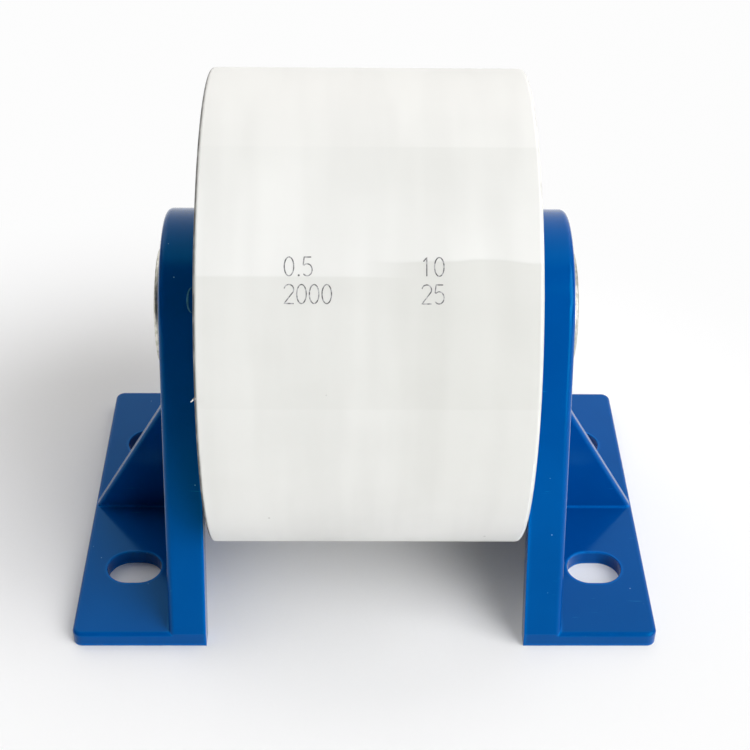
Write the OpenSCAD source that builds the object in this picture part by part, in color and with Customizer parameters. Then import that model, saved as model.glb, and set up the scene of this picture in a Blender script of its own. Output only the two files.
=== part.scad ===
// Film capacitor: a short, fat wound body lying between two moulded L-brackets.
// X runs along the winding axis, Z is up. The origin is on the mounting surface,
// midway between the brackets.

/* [Body] */
// Outside diameter of the wrapped body
body_d = 66; // [50:1:80]
// Length of the wrapped body along its axis
body_len = 42.5; // [30:0.5:60]
// Clear height between the mounting surface and the body
ground_gap = 6.5; // [3:0.5:20]
// Build-up of the polyester tape around the winding
tape_t = 1.2; // [0.8:0.1:3]
// Rounding of the tape's outer edge at each end
tape_edge_r = 0.5; // [0.2:0.1:0.7]
// Cast resin over each terminal's flange
seal_cover = 1.2; // [0.8:0.1:3]
// How far the resin face lies inside the tape's edge
seal_recess = 0.3; // [0:0.1:0.6]
// Thickness of the sprayed zinc contact at each end
zinc_t = 0.8; // [0.4:0.1:1.5]

/* [Winding core] */
// Bore of the plastic core tube
core_bore = 9; // [7:0.5:12]
// Wall of the core tube
core_wall = 2; // [1:0.25:4]

/* [Brackets] */
// Gap between the tape's edge and each upright
bracket_gap = 1.25; // [0.5:0.25:5]
// Thickness of each upright at its rim
upright_t = 5.3; // [4.4:0.1:8]
// Thickness of the upright's web, behind the hollow in its inner side
web_t = 2.5; // [1.5:0.1:3.5]
// Width of the rim around the hollow
rim_w = 3; // [2:0.25:5]
// Distance between the terminal's collar and the hollow
hollow_margin = 1.5; // [0.5:0.25:4]
// Radius of the round head of each upright
head_r = 13.7; // [11.4:0.1:18]
// Rounding of the upright's outer edge
edge_r = 0.9; // [0.3:0.1:1.5]
// Width of each foot, front to back
foot_w = 55.5; // [46:0.5:80]
// Thickness of each foot
foot_t = 2.3; // [1.9:0.1:5]
// Rounding of the foot's two outer corners, seen from above
foot_corner_r = 1.4; // [1:0.1:3]
// Rounding of the foot's upper edge
foot_edge_r = 0.55; // [0.2:0.05:1]
// Thickness of the gusset rib
rib_t = 1.8; // [1.5:0.1:4]
// Rounding of the rib's two long edges
rib_edge_r = 0.45; // [0.2:0.05:0.7]
// Distance of the rib's top end below the terminal
rib_drop = 5.8; // [4:0.2:15]
// Width of foot left clear outside the rib
rib_margin = 0.3; // [0:0.1:3]

/* [Screw slots] */
// Slot length, end to end
slot_len = 8; // [7:0.25:12]
// Slot width, for an M6 screw
slot_w = 6.5; // [4.5:0.1:6.8]
// Distance between slot centres across the feet
slot_spacing_y = 28.5; // [20:0.5:38]
// Foot left between the upright and a slot
slot_inner_land = 2.2; // [1:0.1:6]
// Foot left outside a slot
slot_outer_land = 3.5; // [2:0.1:10]

/* [Terminals] */
// Bore of the threaded hole, for an M8 screw
thread_d = 6.8; // [4.2:0.1:8.5]
// Depth of the threaded hole
thread_depth = 8; // [5:0.5:10]
// Width of the raised contact ring around the thread
ring_w = 2.6; // [1:0.1:4]
// Height of the contact ring above the boss
ring_h = 0.3; // [0.2:0.1:1.5]
// Width of the boss's face around the contact ring
boss_face_w = 2.2; // [1:0.1:4]
// How far the boss stands proud of the upright
boss_proud = 1.1; // [0.3:0.1:3]
// Width of the shoulder that the upright seats on
shoulder_w = 2.8; // [1.5:0.1:5]
// Width of the flange outside the shoulder, soldered to the zinc
flange_w = 3; // [2:0.5:8]
// Thickness of the flange
flange_t = 1.4; // [0.8:0.1:2]
// Length of the spigot that enters the core tube
spigot_len = 3; // [2:0.5:6]
// Chamfer on the boss, the ring, the spigot and the mouth of the thread
terminal_chamfer = 0.2; // [0.1:0.05:0.5]

/* [Clearances] */
// Gap between parts that are wound or cast on each other
wrap_gap = 0.05; // [0.01:0.01:0.2]
// Gap around the boss in its hole and the spigot in the core tube
fit_gap = 0.1; // [0.05:0.05:0.3]

/* [Hidden] */
$fn = 96;

// Overlap that makes cuts and joins run clean through
over = 1;
// Largest share of a wall that the rounding or chamfer of its edge may take
edge_share = 0.8;
// Degrees that the sweep around a bracket's head runs past its top
past_top = 10;

// Radii
body_r = body_d / 2;
film_r = body_r - tape_t;
fill_r = film_r - wrap_gap;
core_r = core_bore / 2 + core_wall;
thread_r = thread_d / 2;
ring_r = thread_r + ring_w;
boss_r = ring_r + boss_face_w;
collar_r = boss_r + shoulder_w;
flange_r = collar_r + flange_w;
spigot_r = core_bore / 2 - fit_gap;
tape_round = min(tape_edge_r, edge_share * tape_t);
head_round = min(edge_r, edge_share * upright_t / 2);
foot_round = min(foot_edge_r, edge_share * min(foot_t, foot_corner_r / 2));
rib_round = min(rib_edge_r, edge_share * rib_t / 2);
chamfer = min(terminal_chamfer, edge_share * min(ring_h, boss_proud));

// Heights above the mounting surface
axis_h = ground_gap + body_r;
rib_top = axis_h - boss_r - rib_drop;
hollow_top = axis_h - collar_r - hollow_margin;

// Stations along the axis, counted outwards from the middle
seal_face = body_len / 2 - seal_recess;
flange_out = seal_face - seal_cover;
zinc_out = flange_out - flange_t;
film_end = zinc_out - zinc_t;
spigot_in = zinc_out - spigot_len;
upright_in = body_len / 2 + bracket_gap;
upright_out = upright_in + upright_t;
web_in = upright_out - web_t;
boss_face = upright_out + boss_proud;
ring_face = boss_face + ring_h;
slot_x = upright_out + slot_inner_land + slot_len / 2;
foot_out = slot_x + slot_len / 2 + slot_outer_land;
rib_out = foot_out - rib_margin;

// An upright's side runs straight from the foot's corner to touch the round head.
// side_angle is the direction, from the front-to-back level, of the side's outward
// normal, which also points from the head's centre to the touch point.
head_centre = [0, axis_h];
foot_corner = [foot_w / 2, foot_t];
corner_arm = foot_corner - head_centre;
side_angle = atan2(corner_arm.y, corner_arm.x) + acos(head_r / norm(corner_arm));
side_normal = [cos(side_angle), sin(side_angle)];
side_top = head_centre + head_r * side_normal;

// Half the upright's width at a height, measured inset from its straight side
function half_width(height, inset) =
    (side_top * side_normal - inset - height * side_normal.y) / side_normal.x;

// Lays a shape drawn around +Z along +X
module along_x(x) {
    translate([x, 0, axis_h]) rotate([0, 90, 0]) children();
}

// A ring around the winding axis between two stations
module ring(x_from, x_to, r_out, r_in) {
    along_x(x_from) difference() {
        cylinder(h = x_to - x_from, r = r_out);
        translate([0, 0, -over]) cylinder(h = x_to - x_from + 2 * over, r = r_in);
    }
}

// Section of a wall's strip near its edge, width wide and thickness thick, whose
// far upper corner is round. Away from the corner it stands past the wall's face,
// which one flat cut makes later.
module strip_section(width, thickness, round_r) {
    square([width - round_r, thickness + over]);
    square([width, thickness - round_r]);
    translate([width - round_r, thickness - round_r]) circle(r = round_r);
}

// ---- Body ----

module winding_core() {
    color("gainsboro") ring(-film_end, film_end, core_r - wrap_gap, core_bore / 2);
}

module film_winding() {
    color("silver") ring(-film_end, film_end, fill_r, core_r);
}

module zinc_end() {
    color("darkgray") ring(film_end, zinc_out, fill_r, core_bore / 2);
}

module end_seal() {
    color("ivory") difference() {
        ring(zinc_out, seal_face, fill_r, collar_r + wrap_gap);
        along_x(zinc_out - over)
            cylinder(h = flange_t + wrap_gap + over, r = flange_r + wrap_gap);
    }
}

// Half of the tape's section: a strip whose outer corner is round
module tape_section() {
    half = body_len / 2;
    translate([film_r, 0]) square([tape_t - tape_round, half]);
    translate([film_r, 0]) square([tape_t, half - tape_round]);
    translate([body_r - tape_round, half - tape_round]) circle(r = tape_round);
}

module tape_wrap() {
    color("whitesmoke") along_x(0) rotate_extrude() {
        tape_section();
        mirror([0, 1]) tape_section();
    }
}

// ---- Terminals ----

// Turned outline: spigot, flange, collar, boss and contact ring
module terminal_outline() {
    polygon([
        [0, spigot_in],
        [spigot_r - chamfer, spigot_in], [spigot_r, spigot_in + chamfer],
        [spigot_r, zinc_out],
        [flange_r, zinc_out], [flange_r, flange_out],
        [collar_r, flange_out], [collar_r, upright_in],
        [boss_r, upright_in],
        [boss_r, boss_face - chamfer], [boss_r - chamfer, boss_face],
        [ring_r, boss_face],
        [ring_r, ring_face - chamfer], [ring_r - chamfer, ring_face],
        [0, ring_face]
    ]);
}

module terminal() {
    color("lightgray") along_x(0) difference() {
        rotate_extrude() terminal_outline();
        translate([0, 0, ring_face - thread_depth]) cylinder(h = thread_depth + over, r = thread_r);
        translate([0, 0, ring_face - chamfer])
            cylinder(h = 2 * chamfer, r1 = thread_r, r2 = thread_r + 2 * chamfer);
    }
}

// ---- Brackets ----

// One side of the upright, drawn in a frame that leans with the side: the section runs
// straight up from below the foot's corner, then sweeps past the top of the round head
module upright_half() {
    width = 4 * head_round;
    run = norm(foot_corner - side_top) + upright_t;
    translate([upright_in, 0, axis_h]) rotate([side_angle, 0, 0]) {
        translate([0, 0, -run]) linear_extrude(run) edge_strip(width);
        rotate([90, 0, 90]) rotate_extrude(angle = 90 - side_angle + past_top)
            mirror([1, -1]) edge_strip(width);
    }
}

// The upright's edge strip, thickness across and width up to the head's radius
module edge_strip(width) {
    translate([0, head_r - width]) mirror([1, -1]) strip_section(width, upright_t, head_round);
}

// Web that fills the upright inside its edge strips
module upright_web() {
    top = side_top - 2 * head_round * side_normal;
    bottom = foot_corner - 2 * head_round * side_normal;
    translate([upright_in, 0, 0]) rotate([90, 0, 90]) linear_extrude(upright_t + over) polygon([
        top, bottom, [bottom.x, 0], [-bottom.x, 0], [-bottom.x, bottom.y], [-top.x, top.y]
    ]);
    along_x(upright_in) cylinder(h = upright_t + over, r = head_r - 3 * head_round);
}

module upright() {
    intersection() {
        union() {
            upright_half();
            mirror([0, 1, 0]) upright_half();
            upright_web();
        }
        translate([upright_in - over, -foot_w / 2, 0])
            cube([upright_t + over, foot_w, axis_h + 2 * head_r]);
    }
}

// Hollow in the upright's inner side, open at the bottom
module hollow() {
    low = half_width(-over, rim_w);
    high = half_width(hollow_top, rim_w);
    translate([upright_in - over, 0, 0]) rotate([90, 0, 90])
        linear_extrude(web_in - upright_in + over)
            polygon([[-low, -over], [low, -over], [high, hollow_top], [-high, hollow_top]]);
}

module foot() {
    width = foot_corner_r;
    length = foot_out - upright_in - foot_corner_r;
    side_y = foot_w / 2 - foot_corner_r;
    inset = (foot_corner_r + foot_round) / 2;
    intersection() {
        union() {
            for (side = [0, 1]) mirror([0, side, 0]) {
                translate([upright_in, side_y, 0]) rotate([90, 0, 90])
                    linear_extrude(length) strip_section(width, foot_t, foot_round);
                translate([upright_in + length, side_y, 0])
                    rotate_extrude(angle = 90) strip_section(width, foot_t, foot_round);
            }
            translate([upright_in + length, side_y, 0]) rotate([90, 0, 0])
                linear_extrude(2 * side_y) strip_section(width, foot_t, foot_round);
            translate([upright_in, inset - foot_w / 2, 0])
                cube([foot_out - upright_in - inset, foot_w - 2 * inset, foot_t + over]);
        }
        translate([upright_in - over, -foot_w / 2 - over, 0])
            cube([foot_out, foot_w + 2 * over, foot_t]);
    }
}

// Triangular gusset with rounded long edges, let into the foot and the upright by a root
module rib() {
    root = foot_t / 2;
    rise = rib_top - foot_t;
    reach = rib_out - upright_out;
    intersection() {
        translate([rib_out, 0, foot_t]) rotate([0, -atan2(reach, rise), 0])
            translate([0, 0, -rise]) linear_extrude(norm([reach, rise]) + 2 * rise)
                rib_section(rise);
        translate([upright_out - root, -rib_t, foot_t - root])
            cube([reach + root, 2 * rib_t, 2 * rise]);
    }
}

// Section across the rib's slope, whose face is at x = 0
module rib_section(depth) {
    half = rib_t / 2;
    translate([-depth, rib_round - half]) square([depth, 2 * (half - rib_round)]);
    translate([-depth, -half]) square([depth - rib_round, rib_t]);
    for (side = [-1, 1]) translate([-rib_round, side * (half - rib_round)]) circle(r = rib_round);
}

module screw_slot() {
    half_run = (slot_len - slot_w) / 2;
    translate([0, 0, -over]) linear_extrude(foot_t + 2 * over) {
        square([2 * half_run, slot_w], center = true);
        for (end = [-1, 1]) translate([end * half_run, 0]) circle(d = slot_w);
    }
}

module bracket() {
    color("royalblue") difference() {
        union() {
            foot();
            upright();
            rib();
        }
        hollow();
        for (side = [-1, 1]) translate([slot_x, side * slot_spacing_y / 2, 0]) screw_slot();
        along_x(upright_in - over) cylinder(h = upright_t + 2 * over, r = boss_r + fit_gap);
    }
}

// Each end piece is modelled on the right and mirrored to the left
module left() {
    mirror([1, 0, 0]) children();
}

winding_core();
film_winding();
left() zinc_end();  // zinc_end_left
zinc_end();  // zinc_end_right
left() terminal();  // terminal_left
terminal();  // terminal_right
left() end_seal();  // end_seal_left
end_seal();  // end_seal_right
tape_wrap();
left() bracket();  // bracket_left
bracket();  // bracket_right
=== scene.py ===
"""Film capacitor: a white tape-wrapped winding between two moulded blue brackets."""
import math

import bpy
from mathutils import Matrix, Vector


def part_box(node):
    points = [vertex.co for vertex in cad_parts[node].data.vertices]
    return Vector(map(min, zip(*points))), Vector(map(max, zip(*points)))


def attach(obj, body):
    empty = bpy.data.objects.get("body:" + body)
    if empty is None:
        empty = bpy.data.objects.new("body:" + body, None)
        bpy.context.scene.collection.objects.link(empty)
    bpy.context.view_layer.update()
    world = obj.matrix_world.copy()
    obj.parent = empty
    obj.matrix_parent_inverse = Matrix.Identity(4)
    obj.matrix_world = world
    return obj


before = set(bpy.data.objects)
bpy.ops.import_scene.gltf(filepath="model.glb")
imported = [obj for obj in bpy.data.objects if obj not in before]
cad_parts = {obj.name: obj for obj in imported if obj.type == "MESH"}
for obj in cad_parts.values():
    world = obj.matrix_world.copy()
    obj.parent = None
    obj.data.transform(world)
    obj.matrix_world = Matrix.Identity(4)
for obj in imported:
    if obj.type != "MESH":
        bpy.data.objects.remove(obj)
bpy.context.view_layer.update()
MM = 0.001

# ---- Sizes taken from the frame, in metres ----

tape_low, tape_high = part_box("tape_wrap")
foot_low, foot_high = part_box("bracket_right")
post_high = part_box("terminal_right")[1]
BODY_R = (tape_high.z - tape_low.z) / 2
BODY_HALF = tape_high.x
AXIS_Z = (tape_high.z + tape_low.z) / 2
UPRIGHT_IN = foot_low.x
HEAD_R = foot_high.z - AXIS_Z
RING_FACE = post_high.x

# ---- Chosen values ----

# Angles round the winding axis are 0 at the front and rise over the top
TAPE_END = math.radians(43)
NUMBER_ROWS = (math.radians(41.3), math.radians(35.5))
NUMBER_COLUMNS = (-10.2 * MM, 6.4 * MM)
NUMBER_HEIGHT = 2.3 * MM
COOL = (0.985, 0.99, 1.01)
WARM = (1.0, 0.985, 0.965)
BACKDROP_DIRECTION = (0, 0.72, 0.69)


# ---- Camera ----

def make_camera():
    """A short telephoto view from in front and above, turned a little to the right."""
    position = Vector((-2.17, -184.96, 169.10)) * MM
    pitch, yaw, roll = math.radians(37.48), math.radians(1.10), math.radians(0.83)
    forward = Vector((math.sin(yaw) * math.cos(pitch), math.cos(yaw) * math.cos(pitch),
                      -math.sin(pitch)))
    level = Vector((math.cos(yaw), -math.sin(yaw), 0))
    right = math.cos(roll) * level + math.sin(roll) * level.cross(forward)
    up = right.cross(forward)
    data = bpy.data.cameras.new("camera")
    data.sensor_width = 36
    data.lens = 76.8
    data.clip_start = 10 * MM
    data.clip_end = 10
    camera = bpy.data.objects.new("camera", data)
    turn = Matrix((right, up, -forward)).transposed().to_4x4()
    camera.matrix_world = Matrix.Translation(position) @ turn
    bpy.context.scene.collection.objects.link(camera)
    bpy.context.scene.camera = camera


# ---- Node helpers ----

class Nodes:
    """The node tree of a material or world, with short ways to add and join nodes."""

    def __init__(self, owner):
        owner.use_nodes = True
        self.tree = owner.node_tree

    def put(self, node, key, value):
        """Joins a socket to an input, or sets the input's value."""
        if isinstance(value, bpy.types.NodeSocket):
            self.tree.links.new(value, node.inputs[key])
        else:
            node.inputs[key].default_value = value

    def add(self, kind, inputs=None, **settings):
        """A new node with the given settings and inputs."""
        node = self.tree.nodes.new(kind)
        for key, value in settings.items():
            setattr(node, key, value)
        for key, value in (inputs or {}).items():
            self.put(node, key, value)
        return node

    def math(self, operation, a, b=0.0, clamp=False):
        node = self.add("ShaderNodeMath", {0: a, 1: b}, operation=operation, use_clamp=clamp)
        return node.outputs[0]

    def times(self, a, b):
        return self.math("MULTIPLY", a, b)

    def plus(self, a, b):
        return self.math("ADD", a, b)

    def minus(self, a, b):
        return self.math("SUBTRACT", a, b)

    def length(self, a, b):
        """The hypotenuse over a and b."""
        return self.math("SQRT", self.plus(self.times(a, a), self.times(b, b)))

    def dot(self, a, b):
        node = self.add("ShaderNodeVectorMath", {0: a, 1: b}, operation="DOT_PRODUCT")
        return node.outputs["Value"]

    def ramp(self, value, start, stop, low=0.0, high=1.0, kind="SMOOTHSTEP"):
        """low at start and high at stop, smooth between unless kind is LINEAR."""
        if start > stop:
            start, stop, low, high = stop, start, high, low
        node = self.add("ShaderNodeMapRange", interpolation_type=kind)
        for key, setting in (("Value", value), ("From Min", start), ("From Max", stop),
                             ("To Min", low), ("To Max", high)):
            self.put(node, key, setting)
        return node.outputs["Result"]

    def sight(self):
        """Masks of what the camera sees straight and of what it sees in metal or glass."""
        rays = self.add("ShaderNodeLightPath").outputs
        return rays["Is Camera Ray"], self.math("MAXIMUM", rays["Is Glossy Ray"],
                                                rays["Is Transmission Ray"])


class Surface(Nodes):
    """A new material, with its shader and the shaded point's place and normal."""

    def __init__(self, name):
        self.material = bpy.data.materials.new(name)
        super().__init__(self.material)
        self.shader = self.tree.nodes["Principled BSDF"]
        geometry = self.add("ShaderNodeNewGeometry")
        self.place = geometry.outputs["Position"]
        self.normal = geometry.outputs["Normal"]

    def finish(self, **values):
        """Sets the shader's inputs by name and gives the material back."""
        for key, value in values.items():
            self.put(self.shader, key.replace("_", " "), value)
        return self.material

    def axis(self, letter):
        """One coordinate of the shaded point, in metres."""
        return self.add("ShaderNodeSeparateXYZ", {0: self.place}).outputs[letter]

    def vector(self, x, y, z):
        return self.add("ShaderNodeCombineXYZ", {0: x, 1: y, 2: z}).outputs[0]

    def ring_distance(self):
        """Distance from the winding axis, in metres."""
        return self.length(self.axis("Y"), self.minus(self.axis("Z"), AXIS_Z))

    def angle(self):
        """Angle round the winding axis, in radians."""
        return self.math("ARCTAN2", self.minus(self.axis("Z"), AXIS_Z),
                         self.times(self.axis("Y"), -1.0))

    def noise(self, size, detail=2.0, stretch=(1, 1, 1), where=None):
        """Soft noise from 0 to 1 whose patches are about size metres across."""
        scale = self.add("ShaderNodeMapping", {"Vector": where or self.place,
                                               "Scale": [1 / (size * s) for s in stretch]})
        node = self.add("ShaderNodeTexNoise", {"Vector": scale.outputs[0], "Scale": 1,
                                               "Detail": detail})
        return node.outputs["Fac"]

    def dots(self, spacing, radius, where=None):
        """1 inside small round dots that are scattered about spacing metres apart."""
        node = self.add("ShaderNodeTexVoronoi", {"Vector": where or self.place,
                                                 "Scale": 1 / spacing})
        return self.ramp(node.outputs["Distance"], radius / spacing, 0.6 * radius / spacing)

    def mix(self, factor, a, b):
        """Colour a where factor is 0 and colour b where it is 1."""
        return self.add("ShaderNodeMix", {0: factor, 6: a, 7: b}, data_type="RGBA").outputs[2]

    def bump(self, height, depth, normal=None):
        node = self.add("ShaderNodeBump", {"Distance": depth, "Height": height})
        if normal:
            self.put(node, "Normal", normal)
        return node.outputs[0]

    def soft_edges(self, radius):
        return self.add("ShaderNodeBevel", {"Radius": radius}, samples=8).outputs[0]

    def edges(self, radius):
        """1 along outer and inner edges and 0 on flat faces."""
        return self.ramp(self.dot(self.soft_edges(radius), self.normal), 0.998, 0.92)


def grey(value, warm=0.0):
    return (value, value * (1 - 0.3 * warm), value * (1 - warm), 1)


# ---- Materials ----

def blue_plastic():
    """Glossy deep-blue moulding with faint flow marks, a painted highlight along its edges,
    scratches and dust.
    """
    n = Surface("blue_plastic")
    cloud = n.noise(9 * MM, 3)
    colour = n.mix(cloud, (0.0, 0.053, 0.242, 1), (0.0, 0.067, 0.283, 1))
    dusty = n.ramp(n.noise(8 * MM, 1), 0.56, 0.60)
    colour = n.mix(n.times(n.dots(1.6 * MM, 0.11 * MM), dusty), colour, (0.20, 0.36, 0.62, 1))
    # Paler blue along the edges is a painted highlight
    colour = n.mix(n.times(n.edges(0.9 * MM), 0.75), colour, (0.0, 0.13, 0.48, 1))
    scratches = n.ramp(n.noise(0.35 * MM, 2, stretch=(14, 1, 1)), 0.70, 0.78)
    worn = n.times(scratches, n.ramp(n.noise(6 * MM, 1), 0.52, 0.62))
    colour = n.mix(n.times(worn, 0.5), colour, (0.02, 0.20, 0.46, 1))
    rough = n.plus(n.plus(n.times(cloud, 0.06), n.times(worn, 0.25)), 0.11)
    ripple = n.bump(n.noise(6 * MM, 1), 0.012 * MM, n.soft_edges(0.25 * MM))
    return n.finish(Base_Color=colour, Roughness=rough, Normal=n.bump(worn, 0.004 * MM, ripple),
                    Specular_Tint=(0.0, 0.6, 1.0, 1), IOR=1.43)


def add_tape_zones(n, colour, angle, under_end):
    """Faint darker zones along the body's front; painted shade on the right and painted light on
    top.
    """
    low_zone_edge, middle_zone_edge, top_zone_edge, blur = 12.45, 41.15, 71.75, 0.35
    shade = (0.48, 0.48, 0.43, 1)

    def rise(start, stop):
        return n.ramp(angle, math.radians(start), math.radians(stop))

    def above(end):
        return rise(end - blur, end + blur)

    def below(end):
        return rise(end + blur, end - blur)

    front = rise(-35, 5)
    # Painted shade: the right half of the front is greyer
    right = n.times(n.ramp(n.axis("X"), -2 * MM, 10 * MM), 0.09)
    zone = n.times(n.math("MAXIMUM", under_end, below(middle_zone_edge)), front)
    zone = n.times(zone, n.plus(n.times(above(low_zone_edge), 0.3), 0.7))
    colour = n.mix(n.times(zone, n.plus(right, 0.24)), colour, shade)
    # More painted shade on the right half, below the top zone edge
    colour = n.mix(n.times(n.times(right, below(top_zone_edge)), front), colour, shade)

    # Painted light: the tape is paler over the top
    pale = n.plus(n.times(above(top_zone_edge), 0.10), n.times(rise(72, 95), 0.25))
    return n.mix(n.times(pale, rise(130, 95)), colour, grey(0.86, 0.05))


def add_tape_edge_shade(n, colour):
    """Painted shade along the tape's cut edges, mottled and darkest on the left."""
    x = n.axis("X")
    out = n.math("ABSOLUTE", x)
    rim = n.times(n.ramp(out, BODY_HALF - 0.4 * MM, BODY_HALF - 0.1 * MM),
                  n.ramp(out, BODY_HALF + 0.15 * MM, BODY_HALF + 0.05 * MM))
    colour = n.mix(n.times(rim, 0.35), colour, grey(0.42, 0.1))
    corner = n.ramp(n.ring_distance(), BODY_R - 0.75 * MM, BODY_R - 0.4 * MM)
    # Mottled painted shade, darker towards the left
    edge_shade = n.ramp(n.plus(n.noise(3 * MM, 2), n.times(x, -10.0)), 0.3, 0.8)
    return n.mix(n.times(n.times(rim, corner), edge_shade), colour, grey(0.10, 0.1))


def white_tape():
    """Satin polyester tape: soft bands under the film, the outer turn's end, small specks."""
    n = Surface("white_tape")
    x, angle = n.axis("X"), n.angle()
    around = n.vector(x, n.times(angle, BODY_R), n.axis("Z"))
    bands = n.noise(6 * MM, 2, stretch=(1, 9, 9), where=around)
    patches = n.noise(16 * MM, 2, where=around)
    soft = n.plus(n.times(n.ramp(bands, 0.35, 0.65), 0.65),
                  n.times(n.ramp(patches, 0.35, 0.65), 0.35))
    colour = n.mix(soft, (0.70, 0.70, 0.67, 1), (0.765, 0.765, 0.735, 1))

    # The outer turn ends in a slightly crooked line high on the front, on the right only
    crookedness, step_half_width, line_half_width = 0.05, 0.006, 1 / 90
    crooked = n.times(n.noise(9 * MM, 1, where=n.vector(x, 0, 0)), crookedness)
    past_end = n.minus(angle, n.plus(crooked, TAPE_END))
    step = n.ramp(past_end, -step_half_width, step_half_width)
    off_line = n.times(n.math("ABSOLUTE", past_end), 1 / line_half_width)
    line = n.math("SUBTRACT", 1.0, off_line, clamp=True)
    shown = n.ramp(x, -0.1 * BODY_HALF, 0.3 * BODY_HALF)
    colour = n.mix(n.times(n.times(line, shown), 0.06), colour, grey(0.4))
    colour = add_tape_zones(n, colour, angle, n.times(n.minus(1.0, step), shown))
    colour = add_tape_edge_shade(n, colour)

    specks = n.times(n.dots(9 * MM, 0.22 * MM, around), n.ramp(n.noise(11 * MM, 1), 0.50, 0.56))
    colour = n.mix(n.times(specks, 0.7), colour, grey(0.16, 0.2))
    wrinkles = n.noise(2.2 * MM, 3, stretch=(1, 4, 4), where=around)
    normal = n.bump(n.times(step, shown), 0.015 * MM, n.bump(soft, 0.06 * MM))
    return n.finish(Base_Color=colour, Roughness=n.plus(n.times(patches, 0.15), 0.36),
                    Normal=n.bump(wrinkles, 0.01 * MM, normal), Specular_IOR_Level=0.35)


def tinned_metal():
    """Turned and tinned brass: fine tool rings under a cloudy tin coat."""
    n = Surface("tinned_metal")
    face_feed, side_feed = 0.25 * MM, 0.22 * MM
    mottle = n.ramp(n.noise(0.8 * MM, 3), 0.38, 0.62)
    rings = n.math("SINE", n.times(n.ring_distance(), 2 * math.pi / face_feed))
    along = n.math("SINE", n.times(n.axis("X"), 2 * math.pi / side_feed))
    coat = n.bump(mottle, 0.008 * MM, n.soft_edges(0.12 * MM))
    return n.finish(Base_Color=n.mix(mottle, (0.56, 0.55, 0.47, 1), (0.77, 0.75, 0.68, 1)),
                    Roughness=n.plus(n.times(n.noise(2.5 * MM, 3), 0.25), 0.28),
                    Normal=n.bump(n.plus(rings, along), 0.006 * MM, coat), Metallic=1.0)


def sprayed_zinc():
    """Dull grey flame-sprayed zinc with a gritty face."""
    n = Surface("sprayed_zinc")
    grit = n.noise(0.25 * MM, 4)
    return n.finish(Base_Color=n.mix(grit, grey(0.24), grey(0.42)), Metallic=0.8, Roughness=0.7,
                    Normal=n.bump(grit, 0.08 * MM))


def cast_resin():
    """Pale cast epoxy with a slightly wavy, glossy face and a few pin bubbles."""
    n = Surface("cast_resin")
    pins = n.dots(2.4 * MM, 0.15 * MM)
    colour = n.mix(n.noise(6 * MM, 2), (0.53, 0.51, 0.43, 1), (0.62, 0.60, 0.51, 1))
    wave = n.bump(n.noise(8 * MM, 1), 0.25 * MM)
    return n.finish(Base_Color=n.mix(pins, colour, grey(0.3, 0.2)), Roughness=0.22,
                    Normal=n.bump(pins, -0.1 * MM, wave))


def smeared_resin():
    """Thin resin, tinted by the blue plastic that it has run onto."""
    n = Surface("smeared_resin")
    thin = n.noise(0.6 * MM, 2)
    return n.finish(Base_Color=n.mix(thin, (0.01, 0.10, 0.20, 1), (0.08, 0.30, 0.50, 1)),
                    Roughness=0.2, Normal=n.bump(thin, 0.03 * MM))


def wound_layers(name, dark, light, metallic):
    """Film or core tube inside the part: fine turns about the axis."""
    n = Surface(name)
    turns = n.noise(0.2 * MM, 2, where=n.vector(n.ring_distance(), 0, 0))
    return n.finish(Base_Color=n.mix(turns, grey(dark), grey(light)), Roughness=0.4,
                    Metallic=metallic, Normal=n.bump(turns, 0.02 * MM))


def printing_ink():
    """Thin grey ink whose strokes fade in and out."""
    n = Surface("printing_ink")
    fade = n.ramp(n.noise(0.45 * MM, 3), 0.38, 0.66)
    return n.finish(Base_Color=n.mix(fade, grey(0.09), grey(0.42)), Roughness=0.5)


def give(material, *names):
    for name in names:
        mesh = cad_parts[name].data
        mesh.materials.clear()
        mesh.materials.append(material)


# ---- Pieces ----

def add_piece(name, vertices, faces, material, smooth=True):
    mesh = bpy.data.meshes.new(name)
    mesh.from_pydata(vertices, [], faces)
    mesh.materials.append(material)
    mesh.polygons.foreach_set("use_smooth", [smooth] * len(mesh.polygons))
    mesh.update()
    piece = bpy.data.objects.new(name, mesh)
    bpy.context.scene.collection.objects.link(piece)
    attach(piece, "root")
    return piece


def around_axis(x, radius, angle):
    """The point at an angle round the winding axis."""
    return (x, -radius * math.cos(angle), AXIS_Z + radius * math.sin(angle))


def arc(centre, radius, start, stop, steps=10):
    """Points on an upright ellipse, angles in degrees, in units of a figure's height."""
    turns = [math.radians(start + (stop - start) * i / steps) for i in range(steps + 1)]
    return [(centre[0] + radius[0] * math.cos(t), centre[1] + radius[1] * math.sin(t))
            for t in turns]


# Each figure is a list of strokes in a box 0.5 wide and 1 high
FIGURES = {
    "0": [arc((0.25, 0.5), (0.25, 0.5), 0, 360, 20)],
    "1": [[(0.08, 0.78), (0.25, 1), (0.25, 0)]],
    "2": [arc((0.25, 0.74), (0.25, 0.26), 170, -35) + [(0, 0), (0.5, 0)]],
    "5": [[(0.45, 1), (0.08, 1), (0.03, 0.58)] + arc((0.24, 0.32), (0.26, 0.32), 130, -140, 14)],
    ".": [arc((0.1, 0.03), (0.03, 0.03), 0, 360, 6)],
}


def short_steps(points, longest=0.3 * MM):
    """The same line with its long parts cut up, so that it can follow the tape's curve."""
    result = [points[0]]
    for start, stop in zip(points, points[1:]):
        count = max(1, math.ceil((stop - start).length / longest))
        result += [start.lerp(stop, (i + 1) / count) for i in range(count)]
    return result


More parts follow.
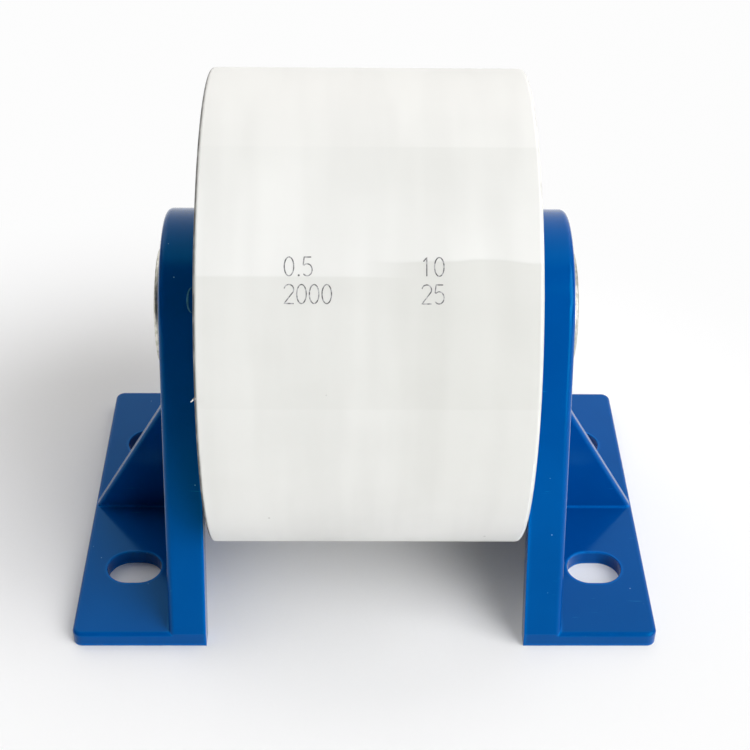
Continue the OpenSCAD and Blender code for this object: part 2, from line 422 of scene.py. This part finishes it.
def print_number(text, left, angle, material):
    """Draws figures on the tape as thin flat strokes, from left, at an angle above the front."""
    radius = BODY_R + 0.012 * MM
    half_stroke = 0.075 * MM
    point_advance, figure_advance = 0.3, 0.66
    vertices, faces = [], []
    pen = left
    for figure in text:
        for stroke in FIGURES[figure]:
            points = short_steps([Vector((pen + NUMBER_HEIGHT * x, NUMBER_HEIGHT * y))
                                  for x, y in stroke])
            first = len(vertices)
            for i, point in enumerate(points):
                ahead = points[min(i + 1, len(points) - 1)] - points[max(i - 1, 0)]
                side = Vector((-ahead.y, ahead.x)).normalized() * half_stroke
                vertices += [around_axis(edge.x, radius, angle + edge.y / radius)
                             for edge in (point + side, point - side)]
            for i in range(len(points) - 1):
                a = first + 2 * i
                faces.append((a, a + 1, a + 3, a + 2))
        pen += NUMBER_HEIGHT * (point_advance if figure == "." else figure_advance)
    add_piece("number_" + text.replace(".", "_"), vertices, faces, material,
              smooth=False)


def thread_ridge(name, side, material):
    """Helical crest of the M8 thread in the bore of the terminal on the side given by a sign."""
    pitch, bore_r, crest = 1.25 * MM, 3.42 * MM, 0.34 * MM
    turns, steps = 5.2, 40
    start = RING_FACE - 0.9 * MM
    count = round(turns * steps)
    profile = [(0, -0.48), (-1, -0.08), (-1, 0.08), (0, 0.48)]
    vertices, faces = [], []
    for i in range(count + 1):
        turn = 2 * math.pi * i / steps
        # The ridge rises and dies out over a quarter turn
        fade = min(1, 4 * i / steps, 4 * (count - i) / steps)
        for inward, along in profile:
            r = bore_r + inward * crest * fade
            x = start - pitch * (i / steps - along)
            vertices.append((side * x, r * math.cos(side * turn),
                             AXIS_Z + r * math.sin(side * turn)))
    for i in range(count):
        for j in range(len(profile) - 1):
            a = len(profile) * i + j
            b = a + len(profile)
            faces.append((a, a + 1, b + 1, b) if side > 0 else (a, b, b + 1, a + 1))
    add_piece(name, vertices, faces, material)


def resin_smear(material):
    """A curl of cured resin on the left bracket's round head, beside the body."""
    reach, half_height, thickness = 0.6 * MM, 1.65 * MM, 0.16 * MM
    middle = math.radians(38)
    middle_x = -UPRIGHT_IN - 0.7 * MM
    sides, steps = 8, 20
    vertices, faces = [], []
    for i in range(steps + 1):
        turn = math.pi * (0.5 + i / steps)
        # Thick in the middle, thin at both tips
        girth = thickness * math.sin(math.pi * (0.08 + 0.84 * i / steps))
        x = middle_x + reach * math.cos(turn)
        up = middle + half_height * math.sin(turn) / HEAD_R
        for j in range(sides):
            round_turn = 2 * math.pi * j / sides
            across = girth * math.sin(round_turn)
            vertices.append(around_axis(x + across * math.cos(turn),
                                        HEAD_R + girth * math.cos(round_turn),
                                        up + across * math.sin(turn) / HEAD_R))
    for i in range(steps):
        for j in range(sides):
            a, b = i * sides + j, i * sides + (j + 1) % sides
            faces.append((a, b, b + sides, a + sides))
    faces += [tuple(range(sides))[::-1], tuple(steps * sides + j for j in range(sides))]
    add_piece("resin_smear", vertices, faces, material)


def frayed_tape(material):
    """A small torn tongue of tape that sticks out of the body's left edge."""
    root_angle, length, width, hidden = math.radians(14.5), 0.45 * MM, 0.55 * MM, 0.3 * MM
    radius = BODY_R - 0.1 * MM
    rows, columns = 6, 4
    vertices, faces = [], []
    for i in range(rows + 1):
        out = i / rows
        for j in range(columns + 1):
            place = j / columns - 0.5
            sideways = width * (1 - 0.75 * out) * place + 0.2 * MM * math.sin(5 * out)
            lift = 0.15 * MM * math.sin(3 * out) * (1 + place)
            vertices.append(around_axis(-BODY_HALF + hidden - (length + hidden) * out,
                                        radius + lift, root_angle + sideways / radius))
    for i in range(rows):
        for j in range(columns):
            a = i * (columns + 1) + j
            b = a + columns + 1
            faces.append((a, a + 1, b + 1, b))
    piece = add_piece("frayed_tape", vertices, faces, material)
    piece.modifiers.new("thickness", "SOLIDIFY").thickness = 0.06 * MM


# ---- Stage ----

def make_floor():
    """A pale floor that brightens to pure white well away from the object."""
    half_size = 1.5
    corners = [(-half_size, -half_size, 0), (half_size, -half_size, 0),
               (half_size, half_size, 0), (-half_size, half_size, 0)]
    mesh = bpy.data.meshes.new("floor")
    mesh.from_pydata(corners, [], [(0, 1, 2, 3)])
    floor = bpy.data.objects.new("floor", mesh)
    bpy.context.scene.collection.objects.link(floor)

    # The white grows outwards from an oval, centred a little to the side of the shadow
    centre_x, centre_y, squeeze = -18 * MM, 8 * MM, 1.35
    n = Surface("floor_white")
    x = n.minus(n.axis("X"), centre_x)
    y = n.times(n.minus(n.axis("Y"), centre_y), squeeze)
    far = n.ramp(n.length(x, y), 40 * MM, 115 * MM)
    seen, mirrored = n.sight()
    seen = n.math("MAXIMUM", seen, mirrored)
    n.finish(Base_Color=n.mix(n.noise(0.4 * MM, 2), grey(0.87), grey(0.89)), Roughness=0.55,
             Specular_IOR_Level=0.2)
    white = n.add("ShaderNodeEmission", {"Strength": 0.98})
    blend = n.add("ShaderNodeMixShader", {0: n.times(far, seen), 1: n.shader.outputs[0],
                                          2: white.outputs[0]})
    n.put(n.tree.nodes["Material Output"], "Surface", blend.outputs[0])
    mesh.materials.append(n.material)


def area_light(name, bearing, height, size, power, colour):
    """A soft panel aimed at the object. Bearing is in degrees from +X towards the camera."""
    distance = 1.3
    turn, lift = math.radians(bearing), math.radians(height)
    data = bpy.data.lights.new(name, "AREA")
    data.shape = "RECTANGLE"
    data.size, data.size_y = size
    data.energy = power
    data.color = colour
    light = bpy.data.objects.new(name, data)
    light.location = Vector((math.cos(lift) * math.cos(turn), -math.cos(lift) * math.sin(turn),
                             math.sin(lift))) * distance
    aim = Vector((0, 0, AXIS_Z)) - light.location
    light.rotation_euler = aim.to_track_quat("-Z", "Y").to_euler()
    bpy.context.scene.collection.objects.link(light)
    return light


def make_room(strength):
    """White to the camera everywhere, and white in reflections on the backdrop's side."""
    world = bpy.data.worlds.new("room")
    n = Nodes(world)
    direction = n.add("ShaderNodeTexCoord").outputs["Generated"]
    backdrop = n.ramp(n.dot(direction, BACKDROP_DIRECTION), 0.5, 0.75)
    seen, mirrored = n.sight()
    seen = n.math("MAXIMUM", seen, n.times(mirrored, backdrop))
    background = n.tree.nodes["Background"]
    n.put(background, "Strength", n.ramp(seen, 0, 1, strength, 1.0, kind="LINEAR"))
    n.put(background, "Color", (1, 1, 1, 1))
    bpy.context.scene.world = world


make_camera()

tape = white_tape()
metal = tinned_metal()
ink = printing_ink()
give(blue_plastic(), "bracket_left", "bracket_right")
give(tape, "tape_wrap")
give(cast_resin(), "end_seal_left", "end_seal_right")
give(metal, "terminal_left", "terminal_right")
give(sprayed_zinc(), "zinc_end_left", "zinc_end_right")
give(wound_layers("core_plastic", 0.60, 0.66, 0.0), "winding_core")
give(wound_layers("metallised_film", 0.42, 0.60, 0.7), "film_winding")

for row, texts in zip(NUMBER_ROWS, (("0.5", "10"), ("2000", "25"))):
    for column, text in zip(NUMBER_COLUMNS, texts):
        print_number(text, column, row, ink)
thread_ridge("thread_right", 1, metal)
thread_ridge("thread_left", -1, metal)
resin_smear(smeared_resin())
frayed_tape(tape)

make_floor()
area_light("window", 33, 40, (1.1, 1.1), 17.5, COOL)
area_light("front", 58, 12, (0.8, 0.8), 8, COOL)
wall = area_light("wall", -90, 44, (3.0, 2.5), 27, WARM)
wall.visible_glossy = False  # Reflections show the room's white there
area_light("fill", -160, 40, (1.2, 1.2), 1, WARM)
make_room(0.05)
bpy.context.scene.view_settings.view_transform = "Standard"
